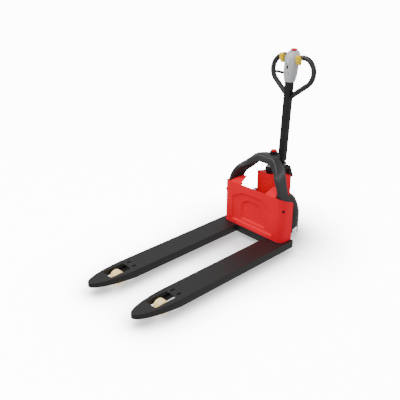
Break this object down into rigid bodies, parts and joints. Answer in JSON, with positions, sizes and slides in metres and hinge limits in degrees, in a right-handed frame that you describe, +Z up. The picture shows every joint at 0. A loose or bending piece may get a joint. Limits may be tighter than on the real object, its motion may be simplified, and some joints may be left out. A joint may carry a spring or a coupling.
{
  "type": "pallet jack",
  "caption": "Walk-behind powered pallet truck with two low forks, steered drive unit, tiller with loop handle, front panel and guard hoop.",
  "frame": {"origin": "on the floor, at the centre of the truck's footprint, forks lowered", "axes": "+X towards the fork tips, +Y to the left seen from the tiller, +Z up"},
  "size_m": [1.55, 0.56, 1.25],
  "materials": {
    "fork_black": "satin",
    "frame_black": "satin",
    "panel_red": "satin",
    "cover_black": "fine grain",
    "housing_red": "satin",
    "hoop_black": "satin",
    "steel": "turned",
    "chromed": "polished",
    "bronze": "turned",
    "polyurethane": "satin",
    "cast": "cast",
    "tyre": "matt",
    "alu": "milled",
    "head_grey": "fine grain",
    "knob_yellow": "satin",
    "signal_red": "gloss",
    "button_green": "gloss",
    "button_blue": "gloss",
    "black_plastic": "fine grain",
    "lamp_window": "clear"
  },
  "bodies": {
    "chassis": {"chassis_frame": "frame_black", "drive_cover": "cover_black", "power_housing": "housing_red", "battery_pack": "black_plastic", "motor_controller": "alu", "pump_motor": "frame_black", "pump_block": "alu", "lift_cylinder": "frame_black", "cylinder_cap": "black_plastic", "wiper_ring": "alu", "guide_posts": "chromed", "steering_bearing": "steel", "chassis_bolts": "steel", "pressure_pipe": "steel"},
    "key": {"key_switch": "steel"},
    "load_frame": {"fork_left": "fork_black", "fork_right": "fork_black", "heel_frame": "fork_black", "front_panel": "panel_red", "guard_hoop": "hoop_black", "hoop_deck": "hoop_black", "estop_base": "black_plastic", "piston_rod": "chromed", "guide_carriage": "frame_black", "guide_bushes": "bronze", "panel_bolts": "frame_black", "bogie_axles": "fork_black"},
    "estop": {"estop_button": "signal_red"},
    "rocker": {"rocker_shaft": "frame_black", "rod_pins": "steel"},
    "rod_l": {"push_rod_left": "steel"},
    "rod_r": {"push_rod_right": "steel"},
    "swing_l": {"bogie_left": "frame_black", "roller_axles_left": "steel"},
    "swing_r": {"bogie_right": "frame_black", "roller_axles_right": "steel"},
    "roller_l": {"roller_tread_left": "polyurethane", "roller_core_left": "alu"},
    "roller_r": {"roller_tread_right": "polyurethane", "roller_core_right": "alu"},
    "steered": {"drive_fork": "frame_black", "steering_arm": "frame_black", "tiller_cowl": "black_plastic", "tiller_pin": "steel", "drive_axle": "steel"},
    "drive_wheel": {"drive_hub": "cast", "drive_tyre": "tyre"},
    "tiller": {"tiller_arm": "frame_black", "loop_handle": "hoop_black", "head_casing": "head_grey", "status_lamp": "lamp_window", "head_screws": "steel"},
    "throttle": {"throttle_spindle": "steel", "throttle_knobs": "knob_yellow"},
    "belly": {"belly_button": "signal_red"},
    "lift_key": {"lift_button": "button_green"},
    "lower_key": {"lower_button": "button_blue"},
    "horn_key": {"horn_button": "knob_yellow"},
    "slow_key": {"slow_button": "black_plastic"},
    "lever": {"lowering_lever": "black_plastic"}
  },
  "joints": [
    {"name": "lift", "type": "slide", "parent": "chassis", "child": "load_frame", "axis": [0, 0, 1], "range_m": [0, 0.115]},
    {"name": "estop_press", "type": "slide", "parent": "load_frame", "child": "estop", "axis": [0, 0, -1], "range_m": [0, 0.005]},
    {"name": "rocker_turn", "type": "hinge", "parent": "load_frame", "child": "rocker", "pos_m": [-0.44, 0, 0.058], "axis": [0, 1, 0], "range_deg": [-41, 1]},
    {"name": "bogie_l_turn", "type": "hinge", "parent": "load_frame", "child": "swing_l", "pos_m": [0.39304, 0.205, 0.044], "axis": [0, 1, 0], "range_deg": [-1, 41]},
    {"name": "bogie_r_turn", "type": "hinge", "parent": "load_frame", "child": "swing_r", "pos_m": [0.39304, -0.205, 0.044], "axis": [0, 1, 0], "range_deg": [-1, 41]},
    {"name": "rod_l_turn", "type": "hinge", "parent": "rocker", "child": "rod_l", "pos_m": [-0.44754, 0.205, 0.03733], "axis": [0, 1, 0], "range_deg": [-1, 41]},
    {"name": "rod_r_turn", "type": "hinge", "parent": "rocker", "child": "rod_r", "pos_m": [-0.44754, -0.205, 0.03733], "axis": [0, 1, 0], "range_deg": [-1, 41]},
    {"name": "roller_l_spin", "type": "hinge", "parent": "swing_l", "child": "roller_l", "pos_m": [0.573, 0.205, 0.04], "axis": [0, 1, 0], "continuous": true},
    {"name": "roller_r_spin", "type": "hinge", "parent": "swing_r", "child": "roller_r", "pos_m": [0.573, -0.205, 0.04], "axis": [0, 1, 0], "continuous": true},
    {"name": "steering", "type": "hinge", "parent": "chassis", "child": "steered", "pos_m": [-0.595, 0, 0.3], "axis": [0, 0, 1], "range_deg": [-80, 80]},
    {"name": "drive_spin", "type": "hinge", "parent": "steered", "child": "drive_wheel", "pos_m": [-0.595, 0, 0.105], "axis": [0, 1, 0], "continuous": true},
    {"name": "tiller_tilt", "type": "hinge", "parent": "steered", "child": "tiller", "pos_m": [-0.663, 0, 0.495], "axis": [0, -1, 0], "range_deg": [0, 80], "stiffness_Nm_per_rad": 12, "springref_deg": -85.94},
    {"name": "throttle_turn", "type": "hinge", "parent": "tiller", "child": "throttle", "pos_m": [-0.687, 0, 1.188], "axis": [0, 1, 0], "range_deg": [-30, 30], "stiffness_Nm_per_rad": 0.5},
    {"name": "belly_press", "type": "slide", "parent": "tiller", "child": "belly", "axis": [0, 0, -1], "range_m": [0, 0.006], "stiffness_N_per_m": 600},
    {"name": "lift_press", "type": "slide", "parent": "tiller", "child": "lift_key", "axis": [1, 0, 0], "range_m": [0, 0.004], "stiffness_N_per_m": 500},
    {"name": "lower_press", "type": "slide", "parent": "tiller", "child": "lower_key", "axis": [1, 0, 0], "range_m": [0, 0.004], "stiffness_N_per_m": 500},
    {"name": "horn_press", "type": "slide", "parent": "tiller", "child": "horn_key", "axis": [1, 0, 0], "range_m": [0, 0.003], "stiffness_N_per_m": 500},
    {"name": "slow_press", "type": "slide", "parent": "tiller", "child": "slow_key", "axis": [-1, 0, 0], "range_m": [0, 0.002], "stiffness_N_per_m": 500},
    {"name": "lever_turn", "type": "hinge", "parent": "tiller", "child": "lever", "pos_m": [-0.705, -0.04, 1.088], "axis": [1, 0, 0], "range_deg": [0, 15], "stiffness_Nm_per_rad": 0.6, "springref_deg": -17.19},
    {"name": "key_turn", "type": "hinge", "parent": "chassis", "child": "key", "pos_m": [-0.672, 0.05, 0.38], "axis": [1, 0, 0], "range_deg": [0, 90]}
  ],
  "couplings": [
    {"joint": "rocker_turn", "follows": "lift", "rad_per_m": -6.0876},
    {"joint": "bogie_l_turn", "follows": "lift", "rad_per_m": 6.0876},
    {"joint": "bogie_r_turn", "follows": "lift", "rad_per_m": 6.0876},
    {"joint": "rod_l_turn", "follows": "lift", "rad_per_m": 6.0876},
    {"joint": "rod_r_turn", "follows": "lift", "rad_per_m": 6.0876}
  ]
}
